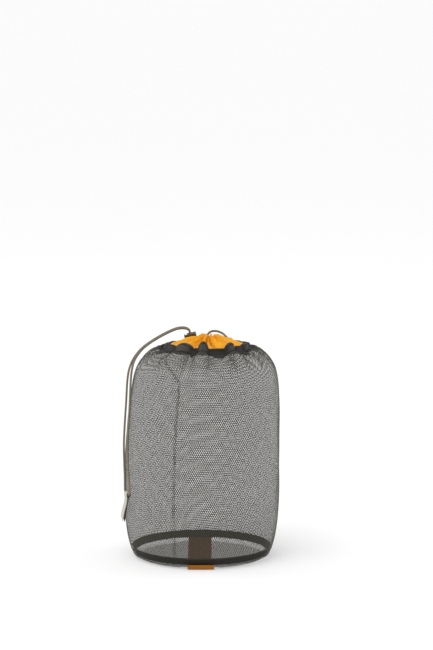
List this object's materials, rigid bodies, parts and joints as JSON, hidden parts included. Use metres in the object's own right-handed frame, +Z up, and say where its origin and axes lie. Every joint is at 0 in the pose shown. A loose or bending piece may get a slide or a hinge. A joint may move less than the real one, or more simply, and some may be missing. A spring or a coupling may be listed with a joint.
{
  "type": "mesh laundry bag",
  "caption": "Small round-bottomed netting sack with a gathered drawcord mouth, a cloth dust collar, a spring cord lock, a base strap and a ribbon pull tab, shown drawn closed.",
  "frame": {"origin": "centre of the round base's underside, on the surface that the bag stands on", "axes": "+Z up along the bag, from base to mouth; -Y the front; +X to the right as seen from the front, with the cord and pull tab hanging on the -X side"},
  "size_m": [0.1686, 0.1644, 0.2408],
  "materials": {
    "netting": "knitted polyester netting, matt",
    "dark_netting": "doubled and gathered netting, matt",
    "binding_tape": "woven tape, matt",
    "collar_cloth": "thin coated ripstop, soft sheen",
    "strap_webbing": "flat woven webbing",
    "cord": "braided cord",
    "tab_ribbon": "grosgrain ribbon",
    "lock_plastic": "moulded, lightly grained",
    "spring_steel": "drawn wire"
  },
  "bodies": {
    "bag": {"mesh_wall": "netting", "base_panel": "netting", "side_seam_tape": "dark_netting", "drawcord_tunnel": "dark_netting", "window_facing": "dark_netting", "base_binding": "binding_tape", "base_strap": "strap_webbing", "mouth_collar": "collar_cloth", "tunnel_drawcord": "cord", "pull_cord": "cord"},
    "cord_lock": {"cord_lock_body": "lock_plastic", "cord_lock_spring": "spring_steel"},
    "lock_button": {"cord_lock_button": "lock_plastic"},
    "pull_tab": {"pull_tab": "tab_ribbon"}
  },
  "joints": [
    {"name": "lock_slide", "type": "slide", "parent": "bag", "child": "cord_lock", "axis": [-0.2079, 0, 0.9781], "range_m": [0, 0.0025]},
    {"name": "button_press", "type": "slide", "parent": "cord_lock", "child": "lock_button", "axis": [0.9781, 0, 0.2079], "range_m": [0, 0.0018], "stiffness_N_per_m": 600, "springref_m": -0.001, "deforming": ["cord_lock_spring"]},
    {"name": "tab_swing", "type": "hinge", "parent": "bag", "child": "pull_tab", "pos_m": [-0.0792, -0.0316, 0.073], "axis": [-0.3007, 0.9537, 0], "range_deg": [-10, 70]}
  ]
}
